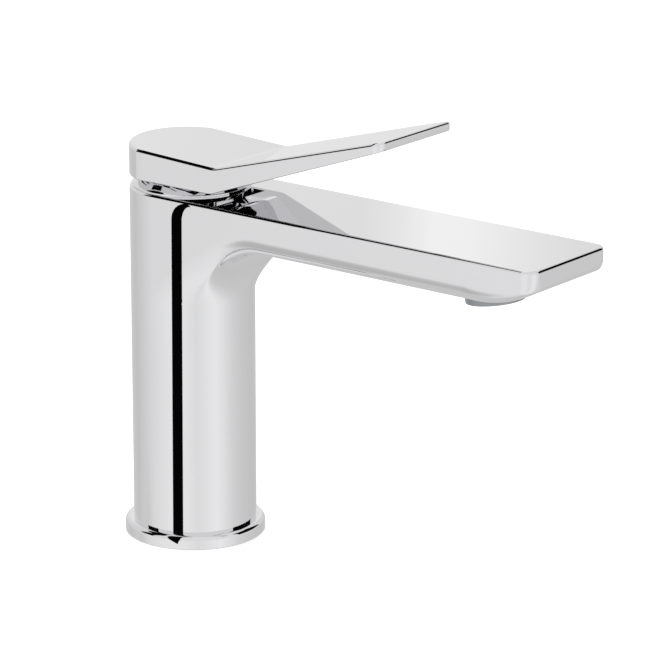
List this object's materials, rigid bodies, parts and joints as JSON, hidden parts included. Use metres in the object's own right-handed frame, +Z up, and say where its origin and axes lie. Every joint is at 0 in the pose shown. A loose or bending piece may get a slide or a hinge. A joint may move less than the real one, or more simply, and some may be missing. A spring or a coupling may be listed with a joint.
{
  "type": "bathroom mixer faucet",
  "caption": "Single-lever basin mixer with round column, wide flat spout, flat lever over a ceramic-disc cartridge and an aerator under the tip.",
  "frame": {"origin": "on the column axis in the deck plane, the underside of the base ring", "axes": "+X along the spout, +Z up, mirror plane y = 0"},
  "size_m": [0.1952, 0.0524, 0.1688],
  "materials": {
    "chrome_plate": "polished",
    "chrome_handle": "polished",
    "aerator_metal": "satin",
    "black_rubber": "matte",
    "white_plastic": "matte",
    "grey_plastic": "matte",
    "blue_plastic": "matte",
    "black_plastic": "matte",
    "white_ptfe": "smooth",
    "white_ceramic": "ground",
    "dark_ceramic": "ground",
    "bright_steel": "turned",
    "dark_steel": "blackened",
    "raw_brass": "turned"
  },
  "bodies": {
    "faucet": {"body": "chrome_plate", "base_ring": "chrome_plate", "cover_ring": "chrome_plate", "base_gasket": "black_rubber", "foot_o_ring": "black_rubber", "cartridge_base": "grey_plastic", "inlet_seals": "black_rubber", "disc_seal": "black_rubber", "fixed_disc": "white_ceramic", "bearing_washer": "white_ptfe", "cartridge_housing": "white_plastic", "housing_o_ring": "black_rubber", "retaining_nut": "raw_brass", "cover_clip": "white_plastic", "aerator_housing": "aerator_metal", "aerator_core": "grey_plastic", "aerator_screens": "bright_steel", "aerator_washer": "black_rubber"},
    "rotor": {"rotor": "black_plastic", "pivot_pin": "bright_steel"},
    "lever": {"stem": "bright_steel", "handle": "chrome_handle", "handle_insert": "black_plastic", "grub_screw": "dark_steel", "index_plug": "grey_plastic"},
    "disc": {"moving_disc": "dark_ceramic", "disc_carrier": "blue_plastic"}
  },
  "joints": [
    {"name": "lever_turn", "type": "hinge", "parent": "faucet", "child": "rotor", "pos_m": [0, 0, 0.121], "axis": [0, 0, 1], "range_deg": [-45, 45]},
    {"name": "lever_lift", "type": "hinge", "parent": "rotor", "child": "lever", "pos_m": [0, 0, 0.121], "axis": [0, -1, 0], "range_deg": [0, 20]},
    {"name": "disc_slide", "type": "slide", "parent": "rotor", "child": "disc", "axis": [1, 0, 0], "range_m": [0, 0.00255]}
  ],
  "couplings": [
    {"joint": "disc_slide", "follows": "lever_lift", "m_per_rad": 0.0072505}
  ]
}
